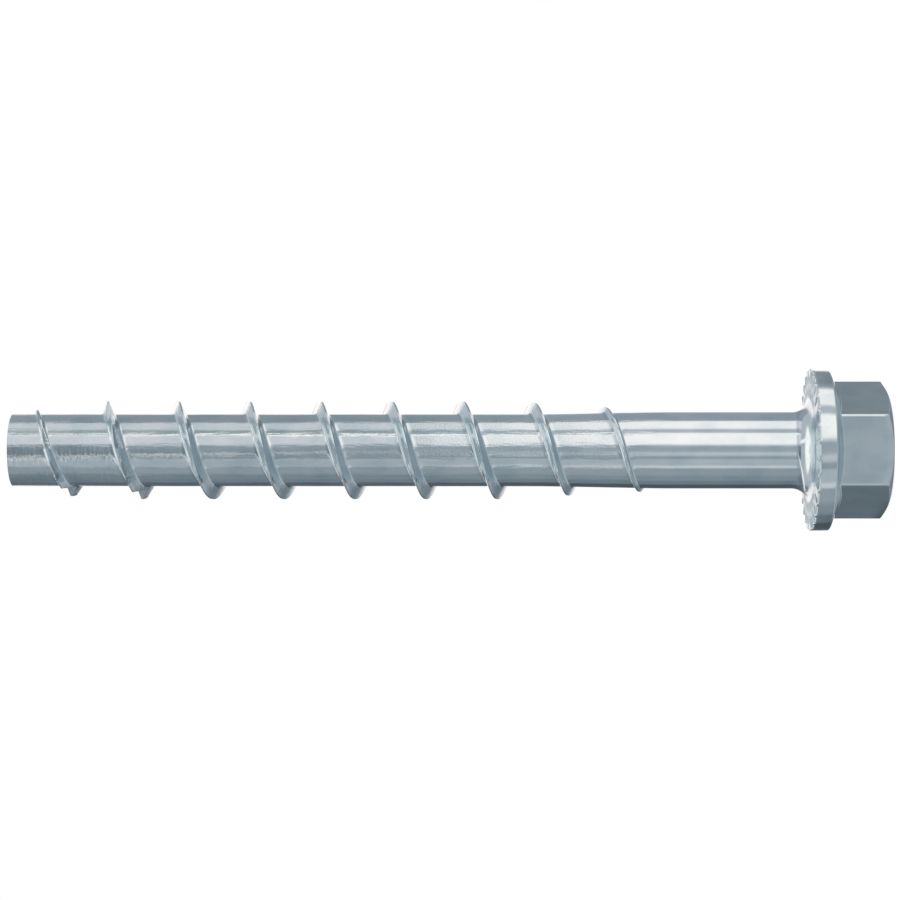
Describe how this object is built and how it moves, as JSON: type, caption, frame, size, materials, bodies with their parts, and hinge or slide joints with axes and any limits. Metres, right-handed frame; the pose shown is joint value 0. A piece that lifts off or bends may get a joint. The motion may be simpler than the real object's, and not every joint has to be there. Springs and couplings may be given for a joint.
{
  "type": "concrete screw",
  "caption": "Concrete screw with a hexagon head, a serrated washer flange, a plain tapering shank and a coarse thread with saw-toothed first turns.",
  "frame": {"origin": "centre of the flat end of the hexagon head, on which the screw stands", "axes": "+Z along the screw's axis, from the head to the tip; -Y points out of one flat of the hexagon"},
  "size_m": [0.0202, 0.0202, 0.1097],
  "materials": {
    "zinc_plated_steel": "bright blue-grey zinc plating, semi-gloss"
  },
  "bodies": {
    "root": {"concrete_screw": "zinc_plated_steel"}
  },
  "joints": []
}
